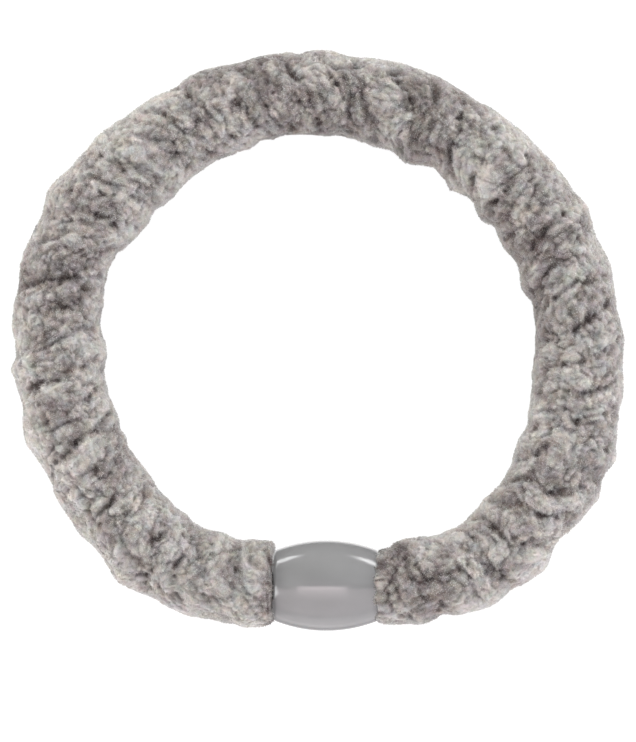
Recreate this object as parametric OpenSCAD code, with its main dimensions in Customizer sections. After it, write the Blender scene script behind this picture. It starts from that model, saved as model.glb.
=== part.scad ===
// Velvet hair tie: plush yarn wound over a round elastic, and one barrel bead that joins the ends.
// It lies flat. The origin is at the middle of the loop, on the surface that it lies on, and the
// bead is on the -Y side with its axis along X. Azimuths are in degrees, anticlockwise from +X.

/* [Loop] */
// Mean radius of the loop, to the middle of the tube
loop_r = 25.15; // [23:0.05:28]
// Mean thickness of the wound cover
cover_d = 8.8; // [7.8:0.05:9.2]

/* [Wraps] */
// Number of wraps along the cover
wrap_count = 46; // [40:1:50]
// Depth of the crease between two wraps
crease_depth = 0.5; // [0.2:0.05:0.7]
// How far one wrap is rounded off beside a crease
shoulder_depth = 0.12; // [0.05:0.01:0.2]
// How far single wraps swell or sink
wrap_swell = 0.15; // [0:0.01:0.2]
// How far the cover's ends are rounded in at the bead
end_round = 0.5; // [0.3:0.05:0.9]

/* [Elastic] */
// Thickness of the elastic inside the cover
elastic_d = 2.8; // [2.2:0.1:3.2]
// Clearance between the elastic and what it runs through
elastic_gap = 0.3; // [0.2:0.05:0.4]

/* [Bead] */
// Length of the bead
bead_len = 10.4; // [9:0.1:11]
// Largest diameter of the bead
bead_d = 8.85; // [8:0.05:9.4]
// Radius of the curve along the bead's side
bead_curve_r = 13.5; // [12:0.5:20]
// Radius of the bead's rounded end edges
bead_edge_r = 0.6; // [0.3:0.05:0.8]
// Place of the bead's middle along X
bead_x = 0.8; // [-1:0.1:1]
// Gap between the bead and each end of the cover
bead_gap = 0.3; // [0.2:0.05:0.4]

/* [Hidden] */
$fn = 96;

// The loop isn't a true circle. One row for each section, every section_step degrees from azimuth 0.
// Columns: how far the tube's middle lies outside loop_r, how much thicker than cover_d the cover is.
section_step = 15;
OFF_ROUND = 0;
THICKER = 1;
SECTIONS = [
    [0.30, 0.00],
    [-0.10, -0.10],
    [-0.55, 0.10],
    [-0.95, 0.00],
    [-1.15, -0.20],
    [-1.20, -0.20],
    [-1.00, -0.40],
    [-0.85, -0.50],
    [-0.80, 0.00],
    [-0.50, 0.60],
    [0.10, 0.50],
    [0.50, 0.05],
    [0.40, 0.00],
    [0.20, 0.30],
    [0.35, 0.20],
    [0.60, 0.00],
    [0.35, 0.20],
    [-0.30, 0.00],
    [-1.15, -0.20],
    [-0.30, -0.30],
    [1.05, -0.30],
    [1.70, -0.10],
    [1.50, 0.30],
    [0.80, 0.40]
];

// The bulges and dents of the wound cover, one row each. A fold leans with the wraps: it starts at
// its azimuth on the outer edge and crosses the top to the inner edge.
// Columns: azimuth, how far the outer edge bulges there, how far the inner edge bulges.
AZIMUTH = 0;
OUTER = 1;
INNER = 2;
FOLDS = [
    [-84, 0.00, 0.15],
    [-66, -0.20, 0.15],
    [-56, 0.50, 0.35],
    [-47, 0.40, 0.00],
    [-40.5, -0.60, -0.30],
    [-29.5, 0.35, 0.10],
    [-22.5, 0.35, -0.10],
    [-13, -0.20, 0.30],
    [0, 0.25, 0.00],
    [7.5, -0.20, 0.10],
    [21, -0.15, -0.15],
    [28, 0.35, 0.30],
    [35, 0.05, -0.25],
    [46, 0.10, -0.35],
    [51.5, 0.05, 0.40],
    [58, -0.25, -0.30],
    [71, 0.20, -0.40],
    [78, 0.00, 0.50],
    [83, -0.35, -0.10],
    [91, 0.25, 0.00],
    [97, 0.10, -0.20],
    [114.5, 0.40, 0.10],
    [126, -0.20, 0.25],
    [135, 0.10, -0.25],
    [143.5, -0.10, -0.25],
    [150.5, 0.50, 0.15],
    [157, -0.25, -0.20],
    [163.5, 0.25, 0.45],
    [173, 0.10, -0.45],
    [181.5, -0.40, -0.20],
    [187, 0.20, 0.15],
    [198.5, 0.55, 0.50],
    [207, -0.30, -0.25],
    [216, 0.10, 0.15],
    [224, -0.25, -0.10],
    [231, 0.55, 0.25],
    [241, 0.00, 0.15],
    [250, -0.30, -0.40],
    [262, -0.10, -0.25],
    [270, 0.00, 0.40],
    [290, 0.00, 0.00]
];

// Four yarns lie side by side. Each turn of one moves it on by four wraps, so with five rings to a
// wrap and twenty sides the creases run exactly along the diagonals of the facets.
yarns = 4;
rings_per_wrap = 5;
cover_sides = yarns * rings_per_wrap;
cover_steps = wrap_count * rings_per_wrap;
// Wraps swell by this step in angle from one to the next, which doesn't repeat along the cover
swell_step = 137.5;
// The stretch at each end of the cover where its rings turn square to the bead
square_span = 9;
// Rings at each end that are rounded in towards the bead
round_rings = 3;

bore_r = elastic_d / 2 + elastic_gap;
bore_sides = cover_sides / 2;
elastic_rings = 48;

axis_z = bead_d / 2;
bead_azimuth = 270;
bead_axis_y = -axis_point(bead_azimuth, 0).y;
cover_start = end_azimuth(bead_x + bead_len / 2 + bead_gap) - 360;
cover_end = end_azimuth(bead_x - bead_len / 2 - bead_gap);
ring_step = (cover_end - cover_start) / cover_steps;
half_turn = cover_sides / 2;

// How far each fold lifts the outer and the inner edge, worked out once for every ring and for the
// rings past the end that the last folds lean over
fold_lifts = [for (k = [0:cover_steps + half_turn]) fold_lift(cover_start + k * ring_step)];

// Azimuth at which the bead's axis line is at this x
function end_azimuth(x) = 360 + atan2(-bead_axis_y, x);

// Smooth curve through four even values, between the second and the third
function smooth_between(a, b, c, d, t) =
    b + t / 2 * (c - a + t * (2 * a - 5 * b + 4 * c - d + t * (3 * (b - c) + d - a)));

function table_row(i) = SECTIONS[((i % len(SECTIONS)) + len(SECTIONS)) % len(SECTIONS)];

function section_value(azimuth, column) =
    let (u = azimuth / section_step, i = floor(u))
    smooth_between(
        table_row(i - 1)[column], table_row(i)[column],
        table_row(i + 1)[column], table_row(i + 2)[column], u - i);

// Point on the tube's middle line
function axis_point(azimuth, z) =
    let (r = loop_r + section_value(azimuth, OFF_ROUND))
    [r * cos(azimuth), r * sin(azimuth), z];

// Share of the turn towards the bead's own direction: 1 at the cover's ends and over the bead
function square_share(azimuth) =
    let (from_end = min(azimuth - cover_start, cover_end - azimuth),
         t = 1 - min(max(from_end / square_span, 0), 1))
    t * t * (3 - 2 * t);

// Level direction that points out of the loop, square to the tube's middle line
function outward(azimuth) =
    let (along = axis_point(azimuth + 1, 0) - axis_point(azimuth - 1, 0),
         out = [along.y, -along.x, 0] / norm(along),
         share = square_share(azimuth),
         turned = out * (1 - share) + [0, -1, 0] * share)
    turned / norm(turned);

// One ring of the tube: the side angle is 0 at the outer edge, 90 on top and 180 at the inner edge
function ring_point(azimuth, side_angle, r) =
    axis_point(azimuth, axis_z)
    + outward(azimuth) * r * cos(side_angle)
    + [0, 0, r * sin(side_angle)];

function fold_lift(azimuth) =
    let (i = max([for (k = [0:len(FOLDS) - 2]) if (FOLDS[k][AZIMUTH] <= azimuth) k]),
         before = FOLDS[i],
         after = FOLDS[i + 1],
         t = (azimuth - before[AZIMUTH]) / (after[AZIMUTH] - before[AZIMUTH]),
         share = (1 - cos(180 * t)) / 2)
    before * (1 - share) + after * share;

// How far a wrap's surface lies under its crown: lowest in the crease, where two wraps meet
function crease(step) =
    let (place = step % rings_per_wrap)
    place == 0 ? crease_depth : (place == 1 || place == rings_per_wrap - 1 ? shoulder_depth : 0);

// How far the cover is rounded in at its ends, a quarter circle over the last rings
function end_inset(ring) =
    let (from_end = min(ring, cover_steps - ring, round_rings) / round_rings)
    end_round * (1 - sqrt(1 - pow(1 - from_end, 2)));

function cover_radius(ring, side) =
    let (azimuth = cover_start + ring * ring_step,
         side_angle = 360 * side / cover_sides,
         inner_share = (1 - cos(side_angle)) / 2,
         lift = fold_lifts[ring + min(side, cover_sides - side)],
         wrap = floor((ring + side) / rings_per_wrap))
    (cover_d + section_value(azimuth, THICKER)) / 2
    + lift[OUTER] * (1 - inner_share)
    + lift[INNER] * inner_share
    + wrap_swell * sin(wrap * swell_step) * inner_share
    - crease(ring + side)
    - end_inset(ring);

// The cover is soft, so it lies flat on the surface where it would reach below it
function flattened(p) = [p.x, p.y, max(p.z, 0)];

function cover_points() = [
    for (ring = [0:cover_steps], side = [0:cover_sides - 1])
        flattened(ring_point(
            cover_start + ring * ring_step, 360 * side / cover_sides, cover_radius(ring, side)))
];

function bore_points() = [
    for (i = [0:wrap_count], side = [0:bore_sides - 1])
        ring_point(
            cover_start + i * rings_per_wrap * ring_step, 360 * side / bore_sides, bore_r)
];

function elastic_points() = [
    for (i = [0:elastic_rings - 1], side = [0:bore_sides - 1])
        ring_point(
            cover_start + 360 * i / elastic_rings, 360 * side / bore_sides, elastic_d / 2)
];

// Triangles of a tube's skin, facing out, split along the lean of the wraps. Its points start at
// first, ring after ring, and the last ring meets the first one where the tube is closed.
function skin_faces(rings, sides, first, closed) = [
    for (i = [0:rings - (closed ? 1 : 2)], j = [0:sides - 1])
        let (here = first + i * sides,
             next = first + (i + 1) % rings * sides,
             k = (j + 1) % sides)
        each [[here + k, next + j, here + j], [here + k, next + k, next + j]]
];

function reversed(faces) = [for (f = faces) [f[2], f[1], f[0]]];

// Triangles between the cover's last ring, from skin on, and the bore's, from bore on, facing out
// at the end of the cover. Two sides of the cover go with each side of the bore.
function end_faces(skin, bore) = [
    for (j = [0:bore_sides - 1])
        let (a = skin + 2 * j,
             b = skin + 2 * j + 1,
             c = skin + (2 * j + 2) % cover_sides,
             inner = bore + j,
             next = bore + (j + 1) % bore_sides)
        each [[a, b, inner], [b, next, inner], [b, c, next]]
];

module velvet_cover() {
    first_bore = (cover_steps + 1) * cover_sides;
    color([0.61, 0.59, 0.58])
        polyhedron(
            points = concat(cover_points(), bore_points()),
            faces = concat(
                skin_faces(cover_steps + 1, cover_sides, 0, false),
                reversed(skin_faces(wrap_count + 1, bore_sides, first_bore, false)),
                reversed(end_faces(0, first_bore)),
                end_faces(cover_steps * cover_sides, first_bore + wrap_count * bore_sides)),
            convexity = 12);
}

module elastic_core() {
    color([0.30, 0.29, 0.29])
        polyhedron(
            points = elastic_points(),
            faces = skin_faces(elastic_rings, bore_sides, 0, true),
            convexity = 4);
}

// Half outline of the bead: x is the distance from its axis, y runs along it
module bead_outline() {
    curve_x = bead_d / 2 - bead_curve_r;
    edge_y = bead_len / 2 - bead_edge_r;
    edge_x = curve_x + sqrt(pow(bead_curve_r - bead_edge_r, 2) - pow(edge_y, 2));
    meet_y = edge_y * bead_curve_r / (bead_curve_r - bead_edge_r);
    intersection() {
        translate([curve_x, 0])
            circle(r = bead_curve_r);
        translate([bore_r, -meet_y])
            square([bead_d, 2 * meet_y]);
    }
    translate([bore_r, -bead_len / 2])
        square([edge_x - bore_r, bead_len]);
    for (side = [-1, 1])
        translate([edge_x, side * edge_y])
            circle(r = bead_edge_r);
}

module bead() {
    color([0.63, 0.62, 0.62])
        translate([bead_x, -bead_axis_y, axis_z])
            rotate([0, 90, 0])
                rotate_extrude()
                    bead_outline();
}

velvet_cover();
elastic_core();
bead();
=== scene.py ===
"""Velvet hair tie: the plush cover, its pile, the bead and the elastic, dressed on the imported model.

Lengths here are millimetres, and MM turns them into Blender's metres. A place on the tube is (s, phi):
s runs along its middle line, anticlockwise from the middle of the bead, and phi runs round it, from
0 at the outer edge over the top to half a turn at the inner edge. An azimuth is in degrees round the
loop's middle, anticlockwise from the photograph's right.
"""

import math

import bpy
import numpy as np
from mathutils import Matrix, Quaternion, Vector
from mathutils.bvhtree import BVHTree


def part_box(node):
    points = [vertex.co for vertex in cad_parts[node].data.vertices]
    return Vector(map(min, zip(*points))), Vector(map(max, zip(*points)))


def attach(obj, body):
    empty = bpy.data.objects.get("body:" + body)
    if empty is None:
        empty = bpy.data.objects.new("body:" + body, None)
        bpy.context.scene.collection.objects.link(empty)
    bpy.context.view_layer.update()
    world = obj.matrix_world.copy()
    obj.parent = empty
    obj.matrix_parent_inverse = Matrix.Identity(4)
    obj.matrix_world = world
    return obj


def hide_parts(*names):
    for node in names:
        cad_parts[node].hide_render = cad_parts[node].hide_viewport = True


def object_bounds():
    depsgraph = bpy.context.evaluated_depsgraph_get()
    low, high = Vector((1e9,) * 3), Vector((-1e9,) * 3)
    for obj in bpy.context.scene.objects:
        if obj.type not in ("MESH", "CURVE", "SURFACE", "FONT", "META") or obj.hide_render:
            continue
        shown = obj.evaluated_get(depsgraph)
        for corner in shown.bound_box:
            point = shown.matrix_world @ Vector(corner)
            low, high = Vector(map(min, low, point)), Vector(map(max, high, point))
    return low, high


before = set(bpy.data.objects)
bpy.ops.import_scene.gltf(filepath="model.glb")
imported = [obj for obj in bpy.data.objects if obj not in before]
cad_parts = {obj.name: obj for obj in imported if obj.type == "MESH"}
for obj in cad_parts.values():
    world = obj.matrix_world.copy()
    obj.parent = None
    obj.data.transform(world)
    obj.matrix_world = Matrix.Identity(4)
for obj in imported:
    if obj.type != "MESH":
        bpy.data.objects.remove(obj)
cad_low, cad_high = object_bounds()

MM = 0.001
TURN = 2 * math.pi
UP = np.array([0, 0, 1.0])

# The photograph's height, and the loop's width and the height of its middle in it
PHOTO_H_PX = 742
LOOP_W_PX = 614
LOOP_MIDDLE_Y_PX = 340
CAMERA_DISTANCE = 400
SENSOR = 36

# The wound cover: wraps along it, the wraps that the yarn moves on by in one turn, the tube's mean radius,
# the elastic's radius and the cover's clearance from it
WRAPS = 46
TURN_WRAPS = 3
TUBE_R = 4.4
CORE_R = 1.4
CORE_CLEARANCE = 0.3
COVER_BORE_R = CORE_R + CORE_CLEARANCE

# How the wraps wander along the cover: size, strength in wraps
WANDER = [(4.6, 0.26), (1.7, 0.08)]
# How the tufts wander round it: size, strength in radians
TWIST = (1.3, 0.08)
# The creases between wraps: depth, the size of their deeper and shallower stretches, the mean share of
# the depth and how far it varies, where across half a wrap they begin and are deepest, and a power
CREASE_DEPTH = 0.40
CREASE_STRETCH = 2.0
CREASE_SHARES = (0.4, 1.2)
CREASE_ACROSS = (0.4, 1.0)
CREASE_POWER = 1.5
# The pits in them: depth, the painted shade that darkens the pile's colour in them, the two sizes of their
# noise, the finer one's share, the values of the noise between which they deepen, and where across half a
# wrap they do
PIT_DEPTH = 0.35
PIT_PAINTED_SHADE = 0.35
PIT_SIZES = (1.0, 0.45)
PIT_FINE_SHARE = 0.5
PIT_VALUES = (0.2, 0.95)
PIT_ACROSS = (0.35, 1.0)
# A swell along the wraps: swells in a wrap, swells round the tube, height, the noise's highest value
SWELL = (1, 6, 0.40, 0.35)

# Each size of tuft: tufts in a wrap, tufts round the tube, height, sharpness of its clefts, how far
# its tint differs, and the painted shade that darkens its clefts
TUFTS = [
    (2.5, 15, 0.37, 8, 0.12, 0.14),
    (5.5, 40, 0.27, 12, 0.12, 0.20),
    (9, 72, 0.12, 9, 0.06, 0.10)]
# A tuft in its cell of the pattern: its middle's margin from the cell's edge, the angle over which tufts
# turn, how much thinner the thinnest is, the smallest radius, how far tufts rise over each other, and how
# high each curves
TUFT_MARGIN = 0.1
TUFT_TURN = 1.4
TUFT_THIN = 0.2
TUFT_LEAST_R = 0.65
TUFT_RISE = 0.7
TUFT_CURVE = 0.8
# A cleft's mean nearness, at which the painted shade of clefts leaves the pile as light as it is
CLEFT_MEAN = 0.3

# Light and dark mottling that follows the wraps: patches in a wrap, patches round the tube, strength
MOTTLES = [(1, 8, 0.23), (4, 29, 0.14), (8, 60, 0.10)]
# Broad light and dark patches: size, strength
PATCHES = [(3, 0.22), (9, 0.23)]
# The loop's lighter and darker stretches: azimuth, half width in degrees, how much lighter
STRETCHES = [
    (0, 6, -0.19), (20, 7, -0.18), (40, 6, -0.10), (60, 6, -0.30), (82, 6, -0.21), (100, 6, -0.23),
    (119, 5, -0.16), (137, 8, 0.24), (152, 5, -0.05), (170, 6, -0.17), (182, 6, 0.13), (197, 14, 0.13),
    (230, 5, -0.20), (242, 5, 0.05), (259, 6, 0.19), (290, 4.5, -0.25), (302, 6, 0.38), (316, 6, 0.16),
    (341, 6, 0.14)]
# The pile's mean lightness, and the painted shade that its own small relief and its height add: lighter
# on crests, darker in hollows
MEAN_CREST = 0.57
LOCAL_PAINTED_SHADE = 0.55
HEIGHT_PAINTED_SHADE = 0.30
# The grid steps, along the tube and round it, over which broad relief and small relief are told apart
BROAD_BLUR = (7, 5)
LOCAL_BLUR = (6, 5)

# What changes towards the tube's outer and inner edges, each with its strength at the edge and a power:
# the higher the power, the nearer to the edge it keeps. Broad relief and then all relief flatten.
BROAD_FLATTENING = (1, 3)
FLATTENING = (0.85, 12)
# Painted rim light: the pile's colour is lighter at the edges, on the inner side most at the very edge,
# and its light and dark, painted shade among them, differ less there
OUTER_PAINTED_RIM_LIGHT = (0.15, 2.5)
INNER_PAINTED_RIM_LIGHT = (0.02, 4)
INNER_EDGE_PAINTED_RIM_LIGHT = (0.20, 24)
EDGE_CALM = (0.25, 6)
# All of this fades out under the tube's widest place, between these two sines of phi
UPPER_FROM = (-0.50, -0.12)
# The body stands out more at the edges, because its nap is shorter there
SIDE_PLUMP = (0.085, 4)

# Bulges and dents of the outline between the solid's own: azimuth, half width in degrees, height
OUTER_BULGES = [
    (14, 4.5, 0.42), (26, 2, 0.20), (30, 1.5, -0.26), (54, 2, 0.12), (62, 4, 0.22), (77, 2.5, 0.12),
    (94, 1.7, -0.38), (107, 5, -0.42), (119, 3, -0.34), (125, 3, 0.10), (131, 2, -0.30), (145.5, 2.3, -0.40),
    (151, 2, 0.14), (159.5, 1.5, -0.10), (161, 2.5, -0.22), (169, 2.5, -0.34), (178, 2.5, 0.36),
    (182.5, 1.3, -0.16), (185.5, 1.4, 0.34), (192, 4, -0.50), (195.5, 1.5, -0.14), (200, 1.5, 0.22),
    (220.5, 2, 0.16), (225.5, 1.3, -0.12), (230, 2, 0.28), (235.5, 2.5, -0.12), (245, 2.5, 0.28),
    (252, 2, 0.12), (290, 2, 0.34), (294.5, 1.6, -0.46), (300, 1.5, -0.14), (308, 1.8, -0.42),
    (315, 2.3, 0.54), (330, 1.4, 0.14), (334, 2, -0.32), (338, 1.5, 0.28), (344, 2, 0.12),
    (350, 2, 0.30), (356, 2, -0.18)]
INNER_BULGES = [
    (10, 3.5, -0.33), (18, 2, 0.11), (26, 3.5, 0.40), (33, 1.5, -0.14), (42, 1.5, -0.13), (48, 2.8, 0.50),
    (62, 3, 0.22), (67, 2, -0.14), (78.5, 2, 0.16), (88, 4, 0.10), (98, 2, -0.09), (106, 2, -0.22),
    (115.5, 2, 0.12), (124, 10, 0.14), (136, 3, 0.20), (138.5, 1.2, 0.10), (145, 2.2, 0.32),
    (156.5, 1.5, -0.18), (171, 1.5, 0.22), (178, 3.5, -0.20), (188, 2, -0.32), (204, 2, -0.46),
    (214, 4, 0.10), (224, 3, -0.18), (233, 2.8, 0.30), (238.5, 1.8, -0.14), (244, 2.2, 0.34), (258, 3, 0.40),
    (289, 3, -0.40), (299, 5, -0.20), (318, 1.5, -0.20), (330, 4, -0.24), (336, 1.3, -0.18),
    (338, 2.2, -0.50), (353, 2, -0.15)]

# The cover's ends at the bead, from the outside in to the bore: depth under the body's surface, reach
# past the solid's end
END_PROFILE = [
    (0.10, 0.16), (0.35, 0.36), (0.65, 0.40), (1.05, 0.24), (1.6, 0.12), (2.2, 0.10), (TUBE_R, 0.10)]
# How much further the right and the left end reach on top, where the right one laps over the bead, how
# uneven they are all round and on top, in bumps of this size, and the depths between which that fades
END_LAPS = (0.36, -0.22)
END_UNEVEN = 0.07
LAP_UNEVEN = (0.22, 0.16)
END_BUMP_SIZE = 1.1
END_FADE_DEPTHS = (1.2, 0.7)
# Painted shade in the gap at the bead: the share of its lightness that an end's face keeps from this depth
# on, and how light the bore is
END_FACE_DEPTH = 1
END_FACE_PAINTED_SHADE_SHARE = 0.3
BORE_CREST = 0.2
# How much darker the pile is beside the bead at the right and the left end, and how far along
END_SHADES = (0.18, 0.50)
END_SHADE_REACH = (0.55, 0.75)
# What would lie in the bead keeps this far from its side and its end. The end is taken to be this deep,
# and this much wider than its flat face.
BEAD_SIDE_GAP = 0.02
BEAD_END_GAP = 0.03
BEAD_END_DEPTH = 1.2
BEAD_END_MARGIN = 0.2

# The nap, short fibres that stand on the body: how far the body lies under the outline, a fibre's length
# and its foot's radius, the shares between which these vary, how deep it stands and how it strays
NAP_DEPTH = 0.16
NAP_LENGTH = 0.32
NAP_R = 0.036
NAP_LENGTH_SHARES = (0.6, 1.1)
NAP_R_SHARES = (0.8, 1.3)
ROOT_DEPTH = 0.03
NAP_STRAY = 0.2
NAP_PIECES = 3
FIBRES_PER_PIECE = 47000
# The share of the length left at the tube's edges, with a power, and the share of the pile that stands
# where the cover faces down, where its normal's height is under this
SIDE_NAP = 0.6
SIDE_NAP_POWER = 4
UNDER_NAP = 0.4
UNDER_FROM = -0.6
# Clumps of fibres: clumps in a wrap, clumps round the tube, the margin of a clump's middle in its cell,
# the least share of the length and what is added to it at most, how far a clump leans, the share of the
# way that its tips go to its middle, and how far clumps and single fibres differ in lightness
CLUMPS_PER_WRAP = 9
CLUMPS_ROUND = 76
CLUMP_MARGIN = 0.15
CLUMP_LENGTHS = (0.8, 0.4)
CLUMP_LEAN = 0.4
CLUMP_PULL = 0.5
CLUMP_TINT = 0.20
FIBRE_TINT = 0.05
# The darkest and the lightest fibre, and on the map a fibre's half width and the height of its foot
FIBRE_CRESTS = (0.02, 0.98)
FIBRE_MAP_HALF_W = 0.0012
FIBRE_MAP_FOOT_H = 0.01

# How far over the floor the body and the nap are laid flat
BODY_FLOOR = 0.05
NAP_FLOOR = 0.01
# What the body stands out by all round
BODY_LIFT = 0.05

# The bead's shape where its box doesn't give it
BEAD_CURVE_R = 13.5
BEAD_EDGE_R = 0.6
BEAD_BORE_R = 1.7

# Each noise has its own seed. Where it has several sizes, they count on from the first one's.
WANDER_SEED = 1
CREASE_SEED = 3
CLUMP_SEED = 5
PIT_SEEDS = (8, 17)
TWIST_SEED = 10
SWELL_SEED = 12
END_SEED = 14
TUFT_SEED = 20
MOTTLE_SEED = 30
PATCH_SEED = 40
rng = np.random.default_rng(20)


# Camera

def add_camera():
    """Looks straight down with +Y up, so that the tube's middle plane has the photograph's scale."""
    px_mm = (cad_high.x - cad_low.x) / MM / LOOP_W_PX
    data = bpy.data.cameras.new("camera")
    camera = bpy.data.objects.new("camera", data)
    bpy.context.collection.objects.link(camera)
    data.sensor_width = SENSOR
    data.lens = SENSOR * CAMERA_DISTANCE / (PHOTO_H_PX * px_mm)
    middle_z = cad_high.z / MM / 2
    frame_y = -(PHOTO_H_PX / 2 - LOOP_MIDDLE_Y_PX) * px_mm
    camera.location = Vector((0, frame_y, middle_z + CAMERA_DISTANCE)) * MM
    bpy.context.scene.camera = camera


add_camera()


# Noise and patterns, seamless round the tube: read at points in space, or on a lattice that closes there

NOISE_CELLS = 32
# Brings the noise that follows the wraps to about 1 at its highest
WRAP_NOISE_GAIN = 1.6


def unit(vectors):
    return vectors / np.linalg.norm(vectors, axis=-1)[..., None]


def smooth_step(x, low, high):
    t = np.clip((x - low) / (high - low), 0, 1)
    return t * t * (3 - 2 * t)


def smoother(t):
    """A step from 0 to 1 whose slope and bend are 0 at both ends."""
    return t * t * t * (t * (t * 6 - 15) + 10)


def bump(azimuth, middle, half_width):
    """1 at the middle azimuth, about a third at the half width and 0 far away."""
    away = (azimuth - middle + 180) % 360 - 180
    return np.exp(-(away / half_width) ** 2)


def value_noise(points, size, seed):
    """Smooth noise between -1 and 1 with features of that size, at an array of points."""
    table = np.random.default_rng(seed).uniform(-1, 1, (NOISE_CELLS,) * 3)
    at = points / size
    low = np.floor(at).astype(int)
    t = smoother(at - low)
    total = np.zeros(at.shape[:-1])
    for corner in np.ndindex(2, 2, 2):
        step = np.array(corner)
        share = np.where(step == 1, t, 1 - t).prod(-1)
        i, j, k = np.moveaxis((low + step) % NOISE_CELLS, -1, 0)
        total += share * table[i, j, k]
    return total


def lattice_table(h, phi, per_wrap, round_tube, seed, values):
    """Reader of random numbers on a lattice that follows the wraps, and each point's place on it.

    h is the place along the cover in wraps, moved on by the lean. Going once round the tube moves h on
    by TURN_WRAPS wraps, and the lattice closes there. It has spare wraps for the lean at both ends."""
    shift = round(TURN_WRAPS * per_wrap)
    spare_wraps = 3 * TURN_WRAPS + 6
    rows = math.ceil((WRAPS + spare_wraps) * per_wrap)
    table = np.random.default_rng(seed).uniform(0, 1, (rows, round_tube, values))

    def read(row, column):
        turns = column // round_tube
        return table[(row - turns * shift + shift) % rows, column % round_tube]
    return read, h * shift / TURN_WRAPS, phi / TURN * round_tube


def wrap_noise(h, phi, per_wrap, round_tube, seed):
    """Smooth noise, mostly between -1 and 1, whose features follow the wraps."""
    read, x, y = lattice_table(h, phi, per_wrap, round_tube, seed, 1)
    cx, cy = np.floor(x).astype(int), np.floor(y).astype(int)
    u, v = x - cx, y - cy
    far_u, far_v = smoother(u), smoother(v)
    total = np.zeros(x.shape)
    for dx, share_x in enumerate((1 - far_u, far_u)):
        for dy, share_y in enumerate((1 - far_v, far_v)):
            angle = read(cx + dx, cy + dy)[..., 0] * TURN
            slope = np.cos(angle) * (u - dx) + np.sin(angle) * (v - dy)
            total += share_x * share_y * slope
    return total * WRAP_NOISE_GAIN


def cells_round(h, phi, per_wrap, round_tube, seed, values, margin):
    """The nine nearest cells of a pattern that follows the wraps, one after another.

    Gives for each the vector to its own middle, in cells, and so many random numbers of its own. Two more
    place its middle."""
    read, x, y = lattice_table(h, phi, per_wrap, round_tube, seed, 2 + values)
    cx, cy = np.floor(x).astype(int), np.floor(y).astype(int)
    for dx in (-1, 0, 1):
        for dy in (-1, 0, 1):
            own = read(cx + dx, cy + dy)
            to_x = cx + dx + margin + (1 - 2 * margin) * own[..., 0] - x
            to_y = cy + dy + margin + (1 - 2 * margin) * own[..., 1] - y
            yield to_x, to_y, own[..., 2:]


def nearest_clump(h, phi):
    """The vector to the nearest clump's middle, in (wraps, turns), and four random numbers of its own."""
    near = np.full(h.shape, np.inf)
    to = np.zeros(h.shape + (2,))
    found = np.zeros(h.shape + (4,))
    for to_x, to_y, own in cells_round(h, phi, CLUMPS_PER_WRAP, CLUMPS_ROUND, CLUMP_SEED, 4, CLUMP_MARGIN):
        away = np.hypot(to_x, to_y)
        nearer = away < near
        near = np.where(nearer, away, near)
        to = np.where(nearer[..., None], np.stack([to_x / CLUMPS_PER_WRAP, to_y / CLUMPS_ROUND], -1), to)
        found = np.where(nearer[..., None], own, found)
    return to, found


# The tube, read from the solids

# The elastic's solid has ten sides and a corner at its outer edge, so its highest corner is at this angle
CORE_TOP = math.radians(72)
LINE_POINTS = 6000
# Points are level with the elastic's middle within this, and beside the bead within this of its axis
LEVEL_WITHIN = 1e-3
END_WITHIN = 1
# Rays to the cover start at this radius, reach this far in, and are cast again further along where they
# miss, as they can just past an end
RAY_START_R = 9.0
RAY_LENGTH = 5.5
RAY_INWARDS = (0, 0.1, 0.3, 0.6, 1.0)


def node_points(name):
    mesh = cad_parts[name].data
    points = np.empty(len(mesh.vertices) * 3)
    mesh.vertices.foreach_get("co", points)
    return points.reshape(-1, 3) / MM


def cubic(values, t):
    """Smooth closed curve through values, at places t counted in values."""
    i = np.floor(t).astype(int)
    t = (t - i)[:, None]
    a, b, c, d = (values[(i + k) % len(values)] for k in (-1, 0, 1, 2))
    return b + t / 2 * (c - a + t * (2 * a - 5 * b + 4 * c - d + t * (3 * (b - c) + d - a)))


def read_middle_line():
    """The tube's middle line and its outward directions, from the elastic's rings.

    Each ring has one point at the outer edge and one at the inner edge, both level with its middle. The
    line is closed and starts at the bead's middle."""
    points = node_points("elastic_core")
    lowest, highest = points[:, 2].min(), points[:, 2].max()
    is_level = np.abs(points[:, 2] - (lowest + highest) / 2) < LEVEL_WITHIN
    level = np.unique(points[is_level].round(4), axis=0)
    thick = (highest - lowest) / math.sin(CORE_TOP)
    apart = np.linalg.norm(level[:, None] - level[None], axis=2)
    across = np.abs(apart - thick).argmin(1)
    r = np.hypot(level[:, 0], level[:, 1])
    outer = np.flatnonzero(r > r[across])
    inner = across[outer]
    middle = (level[outer] + level[inner]) / 2
    outward = (level[outer] - level[inner]) / thick
    # From the bottom of the loop, anticlockwise
    order = np.argsort(np.arctan2(middle[:, 0], -middle[:, 1]) % TURN)
    fine = np.linspace(0, len(middle), LINE_POINTS, endpoint=False)
    line, out = cubic(middle[order], fine), unit(cubic(outward[order], fine))
    from_bead = np.where(line[:, 1] < 0, np.abs(line[:, 0] - bead_middle[0]), np.inf)
    places = np.arange(LINE_POINTS + 1) + from_bead.argmin()
    return line[places % LINE_POINTS], out[places % LINE_POINTS]


def read_cover_ends():
    """Where along the middle line the solid cover starts and ends."""
    points = node_points("velvet_cover")
    beside_bead = points[np.abs(points[:, 1] - bead_middle[1]) < END_WITHIN, 0]
    right = beside_bead > bead_middle[0]
    start = beside_bead[right].min() - bead_middle[0]
    return start, loop_len + beside_bead[~right].max() - bead_middle[0]


bead_low, bead_high = (np.array(corner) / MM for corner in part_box("bead"))
bead_middle = (bead_low + bead_high) / 2
bead_len = bead_high[0] - bead_low[0]
bead_r = (bead_high[1] - bead_low[1]) / 2
line, line_out = read_middle_line()
line_steps = np.linalg.norm(line[1:] - line[:-1], axis=1)
line_s = np.concatenate([[0], np.cumsum(line_steps)])
loop_len = line_steps.sum()
cover_start, cover_end = read_cover_ends()
pitch = (cover_end - cover_start) / WRAPS


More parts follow.
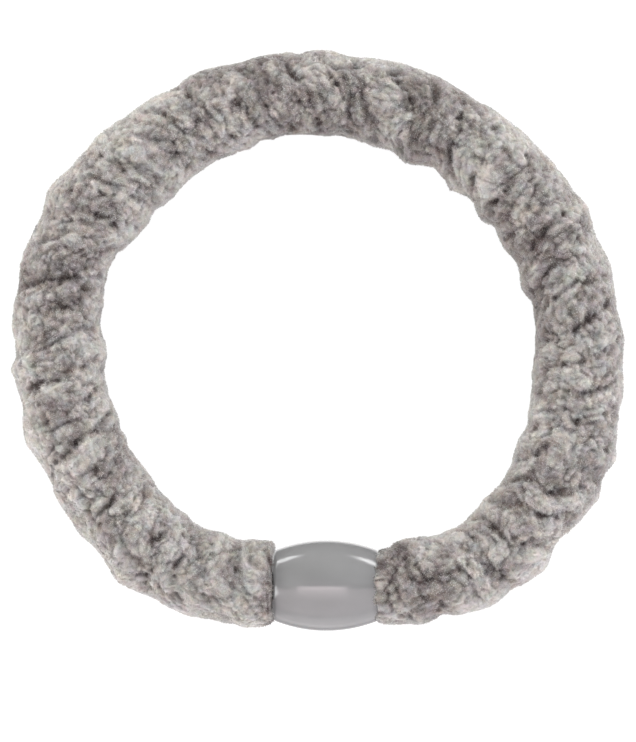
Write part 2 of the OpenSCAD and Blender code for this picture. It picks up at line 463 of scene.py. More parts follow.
def middle_at(s):
    """The middle line's point and outward direction at s."""
    s = np.mod(s, loop_len)
    point = np.stack([np.interp(s, line_s, line[:, k]) for k in range(3)], -1)
    out = np.stack([np.interp(s, line_s, line_out[:, k]) for k in range(3)], -1)
    return point, unit(out)


def directions(out, phi):
    """Directions across the tube at angle phi."""
    return out * np.cos(phi)[..., None] + UP * np.sin(phi)[..., None]


def on_tube(s, phi, r):
    """Points at radius r from the middle line."""
    point, out = middle_at(s)
    return point + directions(out, phi) * np.asarray(r)[..., None]


def read_cover(s, phi):
    """Radius of the solid cover at a grid of places, by rays cast inwards."""
    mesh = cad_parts["velvet_cover"].data
    tree = BVHTree.FromPolygons([v.co for v in mesh.vertices], [p.vertices for p in mesh.polygons])
    found = np.full(s.shape, np.nan)
    for inward in RAY_INWARDS:
        nearer = s + np.where(s < loop_len / 2, inward, -inward)
        point, out = middle_at(nearer)
        across = directions(out, phi)
        start = (point + across * RAY_START_R) * MM
        for place in map(tuple, np.argwhere(np.isnan(found))):
            hit = tree.ray_cast(Vector(start[place]), Vector(-across[place]), RAY_LENGTH * MM)
            if hit[0] is not None:
                found[place] = RAY_START_R - hit[3] / MM
    return found


# Grids over the cover, with rings along the tube and sides round it

RINGS = 1250
FINE_SIDES = 120
COARSE_SIDES = 36
SIDES = FINE_SIDES + COARSE_SIDES
# What shows from above, and a little more, has the fine sides
FINE_FROM, FINE_TO = math.radians(-20), math.radians(200)
# The solid is read on a coarser grid
BASE_RINGS = 380
BASE_SIDES = 60
# Steps along the tube and round it over which the read radius and the nap's ground are smoothed
SMALL_BLUR = (2.0, 1.5)
# Noise is read at about the surface
NOISE_R = 4.3

body_s = np.linspace(cover_start, cover_end, RINGS)
body_phi = np.concatenate([
    np.linspace(FINE_FROM, FINE_TO, FINE_SIDES, endpoint=False),
    np.linspace(FINE_TO, FINE_FROM + TURN, COARSE_SIDES, endpoint=False)])
# The same with the first side again at the end
closed_phi = np.append(body_phi, body_phi[0] + TURN)
grid_s, grid_phi = np.meshgrid(body_s, body_phi, indexing="ij")
sideways = np.abs(np.cos(grid_phi))
upper = smooth_step(np.sin(grid_phi), *UPPER_FROM)


def blurred(grid, along, round_tube):
    """Grid smoothed by so many steps along the tube and round it."""
    for axis, width, mode in ((0, along, "edge"), (1, round_tube, "wrap")):
        reach = int(3 * width) + 1
        weight = np.exp(-0.5 * (np.arange(-reach, reach + 1) / width) ** 2)
        weight /= weight.sum()
        pad = [(0, 0)] * grid.ndim
        pad[axis] = (reach, reach)
        wide = np.pad(grid, pad, mode=mode)
        n = grid.shape[axis]
        total = np.zeros(grid.shape)
        for k, share in enumerate(weight):
            total += share * np.take(wide, np.arange(k, k + n), axis)
        grid = total
    return grid


def between(grid, ring, side, u, v):
    """Values of a grid at the share u of the way to the next ring and v of the way to the next side."""
    beside = (side + 1) % grid.shape[1]
    return (
        (grid[ring, side] * (1 - u) + grid[ring + 1, side] * u) * (1 - v)
        + (grid[ring, beside] * (1 - u) + grid[ring + 1, beside] * u) * v)


def edgewise(strength, power):
    """The strength at the tube's outer and inner edges, less towards its top and its underside."""
    return strength * sideways ** power


def read_base():
    """The solid's radius over the body's grid, read at fewer places and smoothed."""
    s = np.linspace(cover_start, cover_end, BASE_RINGS)
    phi = np.arange(BASE_SIDES) * TURN / BASE_SIDES
    found = blurred(read_cover(*np.meshgrid(s, phi, indexing="ij")), *SMALL_BLUR)
    x = np.linspace(0, BASE_RINGS - 1, RINGS)[:, None]
    y = (body_phi % TURN / TURN * BASE_SIDES)[None]
    ring, side = np.minimum(x.astype(int), BASE_RINGS - 2), y.astype(int)
    return between(found, ring, side, x - ring, y - side)


# The cover's relief and how light its pile is

def wraps_at(s, phi, place):
    """Place along the cover in wraps, moved on by the lean. The wraps wander and differ in width."""
    h = (s - cover_start) / pitch + TURN_WRAPS * phi / TURN
    wander = 0
    for k, (size, strength) in enumerate(WANDER):
        wander = wander + strength * value_noise(place, size, WANDER_SEED + k)
    return h + wander


def domes(h, phi, per_wrap, round_tube, sharpness, seed):
    """Rounded tufts of many sizes that overlap, the higher ones over the lower.

    Gives their height, the nearness to a cleft between two, and a number from 0 to 1 for each tuft."""
    lean = math.atan2(TURN_WRAPS * pitch, TURN * TUBE_R)
    best = np.full(h.shape, -np.inf)
    second = best
    tint = np.zeros(h.shape)
    for to_x, to_y, own in cells_round(h, phi, per_wrap, round_tube, seed, 5, TUFT_MARGIN):
        rise, size, turned, thinned, own_tint = np.moveaxis(own, -1, 0)
        # The same vector on the surface, in cells across the wraps and along them
        on_s = to_x / per_wrap * pitch - to_y / round_tube * TURN_WRAPS * pitch
        on_phi = to_y / round_tube * TURN * TUBE_R
        over = (on_s * math.cos(lean) + on_phi * math.sin(lean)) * per_wrap / pitch
        down = (on_phi * math.cos(lean) - on_s * math.sin(lean)) * round_tube / (TURN * TUBE_R)
        angle = (turned - 0.5) * TUFT_TURN
        beside = (over * np.cos(angle) + down * np.sin(angle)) / (1 - TUFT_THIN * thinned)
        along = down * np.cos(angle) - over * np.sin(angle)
        r = TUFT_LEAST_R + (1 - TUFT_LEAST_R) * size
        away = (along ** 2 + beside ** 2) / r ** 2
        dome = TUFT_RISE * rise + TUFT_CURVE * (1 - away)
        higher = dome > best
        second = np.where(higher, best, np.maximum(second, dome))
        tint = np.where(higher, own_tint, tint)
        best = np.where(higher, dome, best)
    lead = best - second
    joined = best + np.log1p(np.exp(-sharpness * lead)) / sharpness
    return joined, np.exp(-lead * sharpness / 2), tint


def read_relief(s, phi):
    """Height of the wraps and tufts over the cover's outline, and the pile's lightness from them, with
    painted shade.
    """
    place = on_tube(s, phi, NOISE_R)
    h = wraps_at(s, phi, place)
    turned = phi + TWIST[1] * value_noise(place, TWIST[0], TWIST_SEED)
    # 0 in the middle of a wrap and 1 in the crease beside it
    across = np.abs(h % 1 - 0.5) * 2
    mean_share, variation = CREASE_SHARES
    depth = np.clip(mean_share + variation * value_noise(place, CREASE_STRETCH, CREASE_SEED), 0, 1)
    relief = -CREASE_DEPTH * depth * smooth_step(across, *CREASE_ACROSS) ** CREASE_POWER
    coarse, fine = (value_noise(place, size, seed) for size, seed in zip(PIT_SIZES, PIT_SEEDS))
    pits = smooth_step(coarse + PIT_FINE_SHARE * fine, *PIT_VALUES) * smooth_step(across, *PIT_ACROSS)
    relief -= PIT_DEPTH * pits
    per_wrap, round_tube, height, highest = SWELL
    relief += height * np.minimum(wrap_noise(h, turned, per_wrap, round_tube, SWELL_SEED), highest)
    # Painted shade: the pile's colour is darker in the pits
    light = -PIT_PAINTED_SHADE * pits
    for k, (size, strength) in enumerate(PATCHES):
        light += strength * value_noise(place, size, PATCH_SEED + k)
    for k, (per_wrap, round_tube, strength) in enumerate(MOTTLES):
        light += strength * wrap_noise(h, turned, per_wrap, round_tube, MOTTLE_SEED + k)
    for k, (per_wrap, round_tube, height, sharpness, differs, dark) in enumerate(TUFTS):
        dome, cleft, tint = domes(h, turned, per_wrap, round_tube, sharpness, TUFT_SEED + k)
        relief += height * dome
        # Painted shade: the pile's colour is darker near a cleft between tufts
        light += differs * (tint - 0.5) * 2 - dark * (cleft - CLEFT_MEAN)
    return relief, light


def bulges(azimuth):
    """Height of the outline's own bulges and dents, which fade towards the top and the underside."""
    total = np.zeros(azimuth.shape)
    sides = np.cos(grid_phi)
    for table, weight in ((OUTER_BULGES, np.maximum(sides, 0)), (INNER_BULGES, np.maximum(-sides, 0))):
        for middle, half_width, height in table:
            total += height * weight ** 2 * bump(azimuth, middle, half_width)
    return total


def with_outline(relief, azimuth):
    """The relief, flatter at the edges but for the outline's own bulges, and whole on the underside."""
    broad = blurred(relief, *BROAD_BLUR)
    relief = relief - (broad - broad.mean()) * edgewise(*BROAD_FLATTENING) * upper
    relief = relief - (relief - relief.mean()) * edgewise(*FLATTENING) * upper
    return relief + bulges(azimuth)


def read_crest(relief, light, azimuth):
    """How light the pile is, from 0 in its darkest depth to 1 on its lightest crest, painted shade and rim
    light included.
    """
    # Painted shade from the relief: the colour is lighter on crests and darker in hollows, less so at the
    # edges
    local = relief - blurred(relief, *LOCAL_BLUR)
    calm = 1 - edgewise(*EDGE_CALM) * upper
    crest = MEAN_CREST + (light + LOCAL_PAINTED_SHADE * local + HEIGHT_PAINTED_SHADE * (relief - relief.mean())) * calm
    # Painted rim light: the pile's colour is lighter at the tube's outer and inner edges
    inner_painted_rim_light = edgewise(*INNER_PAINTED_RIM_LIGHT) + edgewise(*INNER_EDGE_PAINTED_RIM_LIGHT)
    crest += np.where(np.cos(grid_phi) > 0, edgewise(*OUTER_PAINTED_RIM_LIGHT), inner_painted_rim_light) * upper
    for middle, half_width, gain in STRETCHES:
        crest += gain * bump(azimuth, middle, half_width)
    # Little light gets in beside the bead
    from_ends = (grid_s - cover_start, cover_end - grid_s)
    for from_end, dark, reach in zip(from_ends, END_SHADES, END_SHADE_REACH):
        crest -= dark * np.exp(-(from_end / reach) ** 2)
    return np.clip(crest, 0, 1)


def shape_body():
    """The radius of the cover under its nap, and the crest, over the body's grid."""
    base_r = read_base()
    outline = on_tube(grid_s, grid_phi, base_r)
    azimuth = np.degrees(np.arctan2(outline[..., 1], outline[..., 0]))
    relief, light = read_relief(grid_s, grid_phi)
    relief = with_outline(relief, azimuth)
    outline_r = base_r + relief - relief.mean() + BODY_LIFT + edgewise(*SIDE_PLUMP)
    return outline_r - NAP_DEPTH, read_crest(relief, light, azimuth)


body_r, crest = shape_body()


# The bead's outline, which the cover keeps clear of

BEAD_CURVE_POINTS = 25
BEAD_EDGE_POINTS = 10


def arc(middle_x, middle_y, r, start, end, count):
    """Points on an arc, with its angles from straight out."""
    return [(middle_x + r * math.sin(a), middle_y + r * math.cos(a)) for a in np.linspace(start, end, count)]


def bead_outline():
    """The bead's half outline, x from its middle and radius: its side, then its rounded edge."""
    curve_y = bead_r - BEAD_CURVE_R
    edge_x = bead_len / 2 - BEAD_EDGE_R
    edge_y = curve_y + math.sqrt((BEAD_CURVE_R - BEAD_EDGE_R) ** 2 - edge_x ** 2)
    meet = math.asin(edge_x / (BEAD_CURVE_R - BEAD_EDGE_R))
    side = arc(0, curve_y, BEAD_CURVE_R, 0, meet, BEAD_CURVE_POINTS)
    edge = arc(edge_x, edge_y, BEAD_EDGE_R, meet, TURN / 4, BEAD_EDGE_POINTS)
    return np.array(side + edge[1:])


def clear_of_bead(points):
    """Points that would lie in the bead are moved out to its side, or back from its end."""
    outline = bead_outline()
    near = points - bead_middle
    x = np.abs(near[..., 0])
    r = np.hypot(near[..., 1], near[..., 2])
    at_end = r < outline[-1, 1] + BEAD_END_MARGIN
    end_x = bead_len / 2 + BEAD_END_GAP
    in_end = at_end & (x < end_x) & (x > bead_len / 2 - BEAD_END_DEPTH)
    # Wherever a point is moved, its x or r here is well over 1
    back = np.where(in_end, end_x / np.maximum(x, 1), 1)
    least_r = np.interp(x, outline[:, 0], outline[:, 1], right=0) + BEAD_SIDE_GAP
    out = np.where(~at_end & (r < least_r), least_r / np.maximum(r, 1), 1)
    return near * np.stack([back, out, out], -1) + bead_middle


def laid_flat(points, low):
    """The cover lies flat on the surface where it would reach below it."""
    points[..., 2] = np.maximum(points[..., 2], low)
    return points


# The cover's skin, with its ends drawn in

def end_rings(ring, sign, lap, lap_uneven):
    """An end's rings from the outside in to the bore: the s, radius and crest of each."""
    on_top = np.maximum(np.sin(body_phi), 0)
    noise = value_noise(on_tube(grid_s[ring], body_phi, NOISE_R), END_BUMP_SIZE, END_SEED)
    uneven = (END_UNEVEN + lap_uneven * on_top) * noise + lap * on_top
    rings = []
    for depth, reach in END_PROFILE:
        s = grid_s[ring] + sign * (reach + uneven * smooth_step(depth, *END_FADE_DEPTHS))
        r = np.maximum(body_r[ring] - depth, COVER_BORE_R)
        # An end's face, deep in the gap at the bead, gets painted shade
        rings.append((s, r, crest[ring] * (1 if depth < END_FACE_DEPTH else END_FACE_PAINTED_SHADE_SHARE)))
    return rings


def build_skin():
    """The cover's outside, its ends drawn in at the bead: its points, their s and their crest."""
    start = end_rings(0, -1, END_LAPS[0], LAP_UNEVEN[0])
    end = end_rings(RINGS - 1, 1, END_LAPS[1], LAP_UNEVEN[1])
    rings = start[::-1] + list(zip(grid_s, body_r, crest)) + end
    s, r, crests = (np.array(part) for part in zip(*rings))
    points = on_tube(s, np.broadcast_to(body_phi, s.shape), r)
    return laid_flat(clear_of_bead(points), BODY_FLOOR), s, crests


def build_normals(points):
    """Outward normals over a grid of points round the tube."""
    along = np.gradient(points, axis=0)
    wide = np.concatenate([points[:, -1:], points, points[:, :1]], 1)
    return unit(np.cross(along, wide[:, 2:] - wide[:, :-2]))


skin, skin_s, skin_crest = build_skin()
skin_normals = build_normals(skin)
# The nap stands on the broader shape
ground_normals = build_normals(blurred(skin, *SMALL_BLUR))


# Meshes

def new_mesh(name, points, faces, uv):
    """A smooth mesh object from points in millimetres, faces of equal length and a UV for each corner."""
    mesh = bpy.data.meshes.new(name)
    count, corners = faces.shape
    mesh.vertices.add(len(points))
    mesh.vertices.foreach_set("co", (points * MM).astype(np.float32).ravel())
    mesh.loops.add(count * corners)
    mesh.loops.foreach_set("vertex_index", faces.astype(np.int32).ravel())
    mesh.polygons.add(count)
    mesh.polygons.foreach_set("loop_start", np.arange(0, count * corners, corners, dtype=np.int32))
    mesh.polygons.foreach_set("use_smooth", np.full(count, True))
    layer = mesh.uv_layers.new(name="OFBake")
    layer.uv.foreach_set("vector", np.asarray(uv, np.float32).ravel())
    mesh.update(calc_edges=True)
    mesh.validate()
    made = bpy.data.objects.new(name, mesh)
    bpy.context.collection.objects.link(made)
    return made


def closed_faces(rings, sides):
    """Quads between rings of points, of which the last is joined to the first.

    They face out where each ring runs anticlockwise as seen when looking on to the next ring. The ring
    and the side of each corner are given too, and count on past the last ring and the last side."""
    i, j = np.meshgrid(np.arange(rings), np.arange(sides), indexing="ij")
    ring = np.stack([i, i + 1, i + 1, i], -1).reshape(-1, 4)
    side = np.stack([j, j, j + 1, j + 1], -1).reshape(-1, 4)
    return ring % rings * sides + side % sides, ring, side


# Body

BODY_PIECES = 3
BORE_RINGS = 12


def build_body(number):
    """One share of the cover under its nap: a stretch of the skin and of the bore round the elastic."""
    cuts = np.linspace(0, len(skin) - 1, BODY_PIECES + 1).astype(int)
    first, last = cuts[number - 1], cuts[number]
    stretch = slice(first, last + 1)
    bore_s = np.linspace(skin_s[last].mean(), skin_s[first].mean(), BORE_RINGS)
    bore_s, bore_phi = np.meshgrid(bore_s, body_phi, indexing="ij")
    points = np.concatenate([skin[stretch], on_tube(bore_s, bore_phi, COVER_BORE_R)])
    faces, ring, side = closed_faces(len(points), SIDES)
    # The map goes by place along the tube and angle round it
    u = ring / len(points)
    v = (closed_phi[side] - closed_phi[0]) / TURN
    made = new_mesh(f"plush_{number}", points.reshape(-1, 3), faces, np.stack([u, v], -1))
    crests = np.concatenate([skin_crest[stretch], np.full(bore_s.shape, BORE_CREST)])
    layer = made.data.attributes.new("crest", "FLOAT", "POINT")
    layer.data.foreach_set("value", crests.ravel().astype(np.float32))
    # Where two stretches meet, both take the whole skin's normals, so that no seam shows
    _, out = middle_at(bore_s)
    normals = np.concatenate([skin_normals[stretch], -directions(out, bore_phi)])
    made.data.normals_split_custom_set_from_vertices(normals.reshape(-1, 3))
    return made


# Nap

# A fibre's corners are three round its foot, then its tip: its sides and the face under its foot
FIBRE_FACES = np.array([[0, 1, 3], [1, 2, 3], [2, 0, 3], [0, 2, 1]])


def nap_shares():
    """The share of the pile that stands in each cell of the skin: by its area, and less underneath."""
    ahead = skin[1:] - skin[:-1]
    beside = np.roll(skin, -1, 1) - skin
    area = np.linalg.norm(np.cross(ahead, beside[:-1]), axis=-1)
    weight = area * np.where(ground_normals[:-1, :, 2] < UNDER_FROM, UNDER_NAP, 1)
    return (weight / weight.sum()).ravel()


def skin_value(grid, cell, u, v):
    """Value of a grid over the skin, at a place within a cell."""
    if grid.ndim == 3:
        u, v = u[:, None], v[:, None]
    return between(grid, cell // SIDES, cell % SIDES, u, v)


def fibre_map(crests):
    """Each fibre's place on the map: its crest along u, and the height on it along v."""
    across = np.stack([crests - FIBRE_MAP_HALF_W, crests + FIBRE_MAP_HALF_W, crests], 1)
    side = np.stack([across, np.broadcast_to([0.0, 0.0, 1.0], across.shape)], -1)
    foot = np.stack([across, np.broadcast_to([0.0, 0.0, FIBRE_MAP_FOOT_H], across.shape)], -1)
    return np.stack([side, side, side, foot], 1).reshape(-1, 2)


def build_nap(number):
    """One share of the nap: thin closed spikes that stand on the tufts and lean in clumps."""
    n = FIBRES_PER_PIECE
    cell = rng.choice(len(cell_shares), n, p=cell_shares)
    u, v = rng.uniform(0, 1, n), rng.uniform(0, 1, n)
    normal = unit(skin_value(ground_normals, cell, u, v))
    root = skin_value(skin, cell, u, v) - ROOT_DEPTH * normal
    s = skin_value(skin_s, cell, u, v)
    phi = closed_phi[cell % SIDES] * (1 - v) + closed_phi[cell % SIDES + 1] * v
    h = wraps_at(s, phi, on_tube(s, phi, NOISE_R))
    to_clump, clump = nearest_clump(h, phi)
    clump_length, clump_tint, lean_ahead, lean_round = clump.T
    _, out = middle_at(s)
    ahead = np.cross(UP, out)
    round_tube = np.cross(directions(out, phi), ahead)
    # Vector on the surface to the clump's middle
    pull_s = (to_clump[:, 0] - TURN_WRAPS * to_clump[:, 1]) * pitch
    pull = ahead * pull_s[:, None] + round_tube * (to_clump[:, 1] * TURN * TUBE_R)[:, None]
    shortest, added = CLUMP_LENGTHS
    length = NAP_LENGTH * rng.uniform(*NAP_LENGTH_SHARES, n) * (shortest + added * clump_length)
    length *= 1 - (1 - SIDE_NAP) * np.abs(np.cos(phi)) ** SIDE_NAP_POWER
    lean = ahead * (lean_ahead - 0.5)[:, None] + round_tube * (lean_round - 0.5)[:, None]
    direction = unit(normal + CLUMP_LEAN * lean + rng.normal(0, NAP_STRAY, (n, 3)))
    tip = root + direction * length[:, None] + CLUMP_PULL * pull
    side = unit(np.cross(direction, rng.normal(0, 1, (n, 3))))
    other = np.cross(direction, side)
    foot_r = NAP_R * rng.uniform(*NAP_R_SHARES, n)[:, None]
    foot = [root + foot_r * (side * math.cos(a) + other * math.sin(a)) for a in (0, TURN / 3, 2 * TURN / 3)]
    points = laid_flat(clear_of_bead(np.stack(foot + [tip], 1)), NAP_FLOOR)
    faces = (np.arange(n)[:, None, None] * 4 + FIBRE_FACES).reshape(-1, 3)
    own_crest = skin_value(skin_crest, cell, u, v) + CLUMP_TINT * (clump_tint - 0.5)
    crests = np.clip(own_crest + rng.normal(0, FIBRE_TINT, n), *FIBRE_CRESTS)
    return new_mesh(f"nap_{number}", points.reshape(-1, 3), faces, fibre_map(crests))


cell_shares = nap_shares()


# Bead

BEAD_SIDES = 120


def build_bead():
    """The barrel bead, turned round its axis, with rounded ends and its bore."""
    half = bead_outline()
    bore = [(bead_len / 2, BEAD_BORE_R), (0, BEAD_BORE_R), (-bead_len / 2, BEAD_BORE_R)]
    outline = np.concatenate([half[:0:-1] * (-1, 1), half, bore])
    angle = np.arange(BEAD_SIDES) * TURN / BEAD_SIDES
    x = np.repeat(outline[:, 0], BEAD_SIDES)
    y = np.outer(outline[:, 1], np.cos(angle)).ravel()
    z = np.outer(outline[:, 1], np.sin(angle)).ravel()
    points = np.stack([x, y, z], 1) + bead_middle
    faces, ring, side = (corners[:, ::-1] for corners in closed_faces(len(outline), BEAD_SIDES))
    return new_mesh("bead_shell", points, faces, np.stack([ring / len(outline), side / BEAD_SIDES], -1))


# Materials. A noise's scale counts its features in a metre.

# The pile's colour from its darkest depth to its lightest crest
SHADES = [
    (0.0, (0.117, 0.091, 0.089)),
    (0.5, (0.290, 0.258, 0.253)),
    (1.0, (0.492, 0.460, 0.447))]
# The tips of single fibres are lighter than the dense pile, in which light is lost
TIPS = [
    (0.0, (0.162, 0.134, 0.131)),
    (0.5, (0.374, 0.338, 0.332)),
    (1.0, (0.592, 0.560, 0.545))]
# The share of its colour that a fibre has from its foot to its tip, as painted shade that darkens the foot
# deep in the pile, and the dense pile in its fine mottling
FIBRE_FOOT_PAINTED_SHADE = [(0.0, (0.80, 0.79, 0.79)), (0.4, (0.92, 0.92, 0.92)), (1.0, (1.0, 1.0, 1.0))]
MOTTLE_SHARES = [(0.3, (0.90, 0.90, 0.90)), (0.7, (1.0, 1.0, 1.0))]
BEAD_GREYS = [(0.3, (0.213, 0.208, 0.216)), (0.7, (0.233, 0.228, 0.236))]
ELASTIC_GREYS = [(0.35, (0.05, 0.048, 0.048)), (0.65, (0.09, 0.086, 0.086))]
TINT_SCALE = 900
TINT_STRENGTH = 0.50


def new_material(name):
    material = bpy.data.materials.new(name)
    material.use_nodes = True
    tree = material.node_tree
    return material, tree, tree.nodes["Principled BSDF"]


def add_node(tree, kind, **settings):
    node = tree.nodes.new(kind)
    for key, value in settings.items():
        setattr(node, key, value)
    return node


def set_inputs(node, values):
    for name, value in values.items():
        node.inputs[name].default_value = value


def add_ramp(tree, factor, stops):
    ramp = add_node(tree, "ShaderNodeValToRGB")
    while len(ramp.color_ramp.elements) < len(stops):
        ramp.color_ramp.elements.new(0.5)
    for element, (position, colour) in zip(ramp.color_ramp.elements, stops):
        element.position = position
        element.color = (*colour, 1)
    tree.links.new(factor, ramp.inputs["Fac"])
    return ramp.outputs["Color"]


def multiplied(tree, a, b):
    mix = add_node(tree, "ShaderNodeMix", data_type="RGBA", blend_type="MULTIPLY")
    mix.inputs["Factor"].default_value = 1
    tree.links.new(a, mix.inputs["A"])
    tree.links.new(b, mix.inputs["B"])
    return mix.outputs["Result"]


def add_noise(tree, scale, detail, roughness=0.5):
    """The outputs of a noise that stays with the object."""
    coord = add_node(tree, "ShaderNodeTexCoord")
    noise = add_node(tree, "ShaderNodeTexNoise")
    set_inputs(noise, {"Scale": scale, "Detail": detail, "Roughness": roughness})
    tree.links.new(coord.outputs["Object"], noise.inputs["Vector"])
    return noise.outputs


def tinted(tree, colour):
    """Colour with a slight patchy tint: the red and the blue in it vary, as in dyed yarn."""
    noise = add_noise(tree, TINT_SCALE, detail=4, roughness=0.7)
    tint = add_node(tree, "ShaderNodeVectorMath", operation="MULTIPLY_ADD")
    least = 1 - TINT_STRENGTH / 2
    tint.inputs[1].default_value = (TINT_STRENGTH, 0, TINT_STRENGTH)
    tint.inputs[2].default_value = (least, 1, least)
    tree.links.new(noise["Color"], tint.inputs[0])
    return multiplied(tree, colour, tint.outputs["Vector"])


def nap_material():
    """Colour by the fibre's own crest, along u, and by the height on it, along v, darker to the foot as
    painted shade.
    """
    material, tree, shader = new_material("plush_nap")
    uv = add_node(tree, "ShaderNodeUVMap", uv_map="OFBake")
    split = add_node(tree, "ShaderNodeSeparateXYZ")
    tree.links.new(uv.outputs["UV"], split.inputs["Vector"])
    shade = add_ramp(tree, split.outputs["X"], TIPS)
    # Painted shade: a fibre's colour is darker towards its foot, deep in the pile
    height = add_ramp(tree, split.outputs["Y"], FIBRE_FOOT_PAINTED_SHADE)
    tree.links.new(tinted(tree, multiplied(tree, shade, height)), shader.inputs["Base Color"])
    set_inputs(shader, {
        "Roughness": 0.9, "Specular IOR Level": 0.2, "Sheen Weight": 1.0, "Sheen Roughness": 0.4})
    return material


def body_material():
    """Colour by the crest attribute, with its painted shade and rim light, and the mottling and fine relief
    of dense pile.
    """
    material, tree, shader = new_material("plush_ground")
    crest_node = add_node(tree, "ShaderNodeAttribute", attribute_name="crest")
    shade = add_ramp(tree, crest_node.outputs["Fac"], SHADES)
    mottle = add_ramp(tree, add_noise(tree, scale=6000, detail=2)["Fac"], MOTTLE_SHARES)
    tree.links.new(tinted(tree, multiplied(tree, shade, mottle)), shader.inputs["Base Color"])
    relief = add_node(tree, "ShaderNodeBump")
    set_inputs(relief, {"Strength": 0.5, "Distance": 0.12 * MM})
    tree.links.new(add_noise(tree, scale=5000, detail=3)["Fac"], relief.inputs["Height"])
    tree.links.new(relief.outputs["Normal"], shader.inputs["Normal"])
    set_inputs(shader, {
        "Roughness": 1.0, "Specular IOR Level": 0.1, "Sheen Weight": 1.0, "Sheen Roughness": 0.35})
    return material


def bead_material():
    """Softly glossy plastic, with slight changes in its grey and its gloss."""
    material, tree, shader = new_material("grey_plastic")
    colour = add_ramp(tree, add_noise(tree, scale=220, detail=4)["Fac"], BEAD_GREYS)
    tree.links.new(colour, shader.inputs["Base Color"])
    rough = add_node(tree, "ShaderNodeMapRange")
    set_inputs(rough, {"To Min": 0.13, "To Max": 0.18})
    tree.links.new(add_noise(tree, scale=600, detail=3)["Fac"], rough.inputs["Value"])
    tree.links.new(rough.outputs["Result"], shader.inputs["Roughness"])
    return material


def elastic_material():
    material, tree, shader = new_material("elastic_rubber")
    colour = add_ramp(tree, add_noise(tree, scale=1500, detail=2)["Fac"], ELASTIC_GREYS)
    tree.links.new(colour, shader.inputs["Base Color"])
    shader.inputs["Roughness"].default_value = 0.8
    return material


def floor_material():
    """White by its own light, so that no shadow shows on it."""
    material, _, shader = new_material("white_table")
    set_inputs(shader, {
        "Base Color": (0.1, 0.1, 0.1, 1), "Roughness": 0.9,
        "Emission Color": (1, 1, 1, 1), "Emission Strength": 1.0})
    return material


# Dressing the nodes

def dress(piece, material, slot, node):
    """Gives the piece its material, and its place as what is seen of the node."""
    piece.data.materials.append(material)
    # The bead's ends mirror the pale room instead of the pile beside them
    piece.visible_glossy = slot != "plush"
    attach(piece, "root")
    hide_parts(node)


plush = body_material()
for number in range(1, BODY_PIECES + 1):
    dress(build_body(number), plush, "plush", "velvet_cover")
nap = nap_material()
for number in range(1, NAP_PIECES + 1):
    dress(build_nap(number), nap, "plush", "velvet_cover")
dress(build_bead(), bead_material(), "bead", "bead")
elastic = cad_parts["elastic_core"]
elastic.data.materials.clear()
elastic.data.materials.append(elastic_material())


# Floor and light

FLOOR_HALF_W = 1500
WORLD_LIGHT = 0.24
# Softboxes, each with its azimuth and elevation as seen from the tie, distance, size, power and colour
LIGHTS = [
    ("east_low", 0, 8, 600, (600, 160), 3.2, (0.97, 1, 1)),
    ("west_low", 180, 8, 600, (600, 160), 4.0, (1, 1, 0.95)),
    ("south_low", 270, 8, 600, (600, 160), 3.6, (1, 0.98, 0.97)),
    ("north_low", 90, 8, 600, (600, 160), 1.5, (0.97, 1, 0.95)),
    ("east_high", 0, 40, 600, (500, 300), 1.2, (1, 1, 1)),
    ("north_high", 90, 40, 600, (500, 300), 2.6, (0.97, 1, 0.95)),
    ("west_high", 180, 40, 600, (500, 300), 0.5, (1, 1, 1)),
    ("table", 270, -90, 3, (1500, 1500), 3.2, (1, 1, 1))]
# What only the bead's gloss shows, placed as seen from the bead. Two small long lamps, each with its
# brighter middle and rolled by an angle:
GLINTS = [
    ("glint_east", 54, 11, 27, (20, 5), 0.0008, (1, 1, 1), -18),
    ("glint_east_core", 56, 9.5, 26.5, (10, 4.4), 0.0009, (1, 1, 1), -18),
    ("glint_west", 126, 7.2, 27, (20, 5), 0.0008, (1, 1, 1), 12),
    ("glint_west_core", 121, 5, 26.5, (9.5, 4.4), 0.00075, (1, 1, 1), 15)]
# A window that shows in its left lip, the pale room on three sides, and the table in front, under, behind:
ROOM = [
    ("lip_west", 195, 25, 900, (380, 630), 6.6, (1, 1, 1)),
    ("room", 90, 80, 900, (1300, 400), 1.0, (1, 1, 1)),
    ("room_east", 50, 48, 900, (700, 600), 0.8, (1, 1, 1)),
    ("room_west", 160, 45, 900, (600, 500), 0.5, (1, 1, 1)),
    ("table_front", 270, -22, 300, (400, 250), 0.38, (1, 0.97, 0.97)),
    ("table_under", 270, -90, 200, (270, 270), 0.10, (1, 1, 1)),
    ("table_behind", 90, -75, 200, (300, 140), 0.14, (1, 1, 1))]
# Two cards that lean over the bead from in front, a narrow one and a wide one, in strips that dim
# downwards: name, width, how far west it stands, first strip from the top, strips, the first one's power,
# the share that each has of the one above
CARDS = [
    ("card", 680, 60, 0, 6, 1.7, 0.74),
    ("wide_card", 1900, 0, 1, 9, 1.55, 0.94)]
CARD_DISTANCE = 900
CARD_STRIP_H = 126
CARD_STRIP_DEGREES = 8
CARD_COLOUR = (1, 0.88, 0.90)


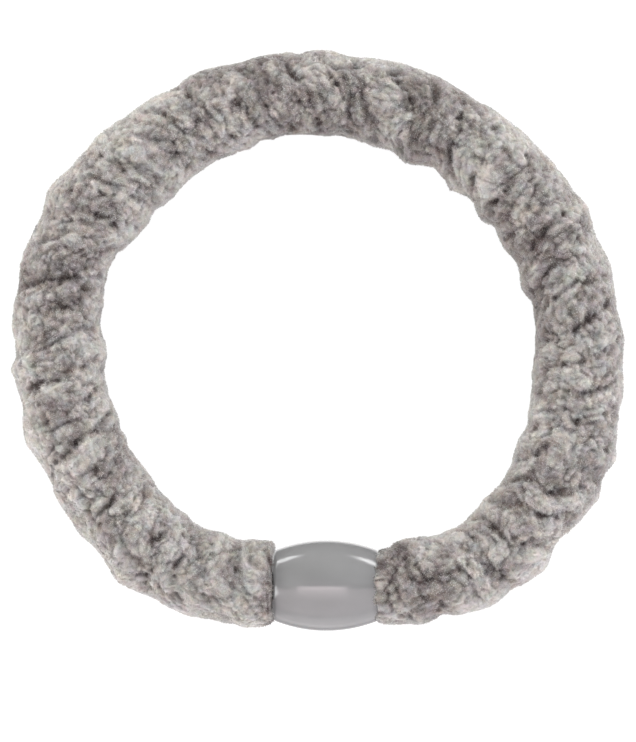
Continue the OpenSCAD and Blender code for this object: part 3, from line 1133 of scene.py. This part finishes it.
def add_floor():
    """A wide white floor under the tie."""
    half = FLOOR_HALF_W * MM
    mesh = bpy.data.meshes.new("floor")
    corners = [(-half, -half, 0), (half, -half, 0), (half, half, 0), (-half, half, 0)]
    mesh.from_pydata(corners, [], [(0, 1, 2, 3)])
    floor = bpy.data.objects.new("floor", mesh)
    bpy.context.collection.objects.link(floor)
    mesh.materials.append(floor_material())
    # The bead mirrors the dim room, not the bright floor, and the lamp under the floor lights the tie
    floor.visible_glossy = False
    floor.visible_diffuse = False
    floor.visible_shadow = False


def add_world():
    world = bpy.data.worlds.new("studio")
    world.use_nodes = True
    set_inputs(world.node_tree.nodes["Background"], {"Color": (1, 1, 1, 1), "Strength": WORLD_LIGHT})
    bpy.context.scene.world = world


def add_softbox(name, azimuth, elevation, distance, size, power, colour, roll=0, aim=(0, 0, 0)):
    """A rectangular softbox that faces the aim, a point in millimetres. The camera doesn't see it."""
    data = bpy.data.lights.new(name, "AREA")
    data.shape = "RECTANGLE"
    data.size, data.size_y = size[0] * MM, size[1] * MM
    data.energy = power
    data.color = colour
    light = bpy.data.objects.new(name, data)
    bpy.context.collection.objects.link(light)
    turn, rise = math.radians(azimuth), math.radians(elevation)
    way = Vector((math.cos(turn) * math.cos(rise), math.sin(turn) * math.cos(rise), math.sin(rise)))
    light.location = (Vector(aim) + way * distance) * MM
    facing = (-way).to_track_quat("-Z", "Y") @ Quaternion((0, 0, 1), math.radians(roll))
    light.rotation_euler = facing.to_euler()
    light.visible_camera = False
    return light


def add_card(name, width, west, first_strip, strips, power, fade):
    """A card bent over the bead, as strips on an arc that face inwards."""
    for strip in range(strips):
        elevation = 90 - CARD_STRIP_DEGREES * (first_strip + strip + 0.5)
        light = add_softbox(
            f"{name}_{strip + 1}", 270, elevation, CARD_DISTANCE, (width, CARD_STRIP_H),
            power * fade ** strip, CARD_COLOUR, aim=bead_middle - (west, 0, 0))
        light.visible_diffuse = False


add_floor()
add_world()
for row in LIGHTS:
    add_softbox(*row).visible_glossy = False
for row in GLINTS:
    glint = add_softbox(*row, aim=bead_middle)
    glint.data.shape = "ELLIPSE"
    glint.visible_diffuse = False
for row in ROOM:
    add_softbox(*row, aim=bead_middle).visible_diffuse = False
for row in CARDS:
    add_card(*row)

bpy.context.scene.view_settings.view_transform = "Standard"
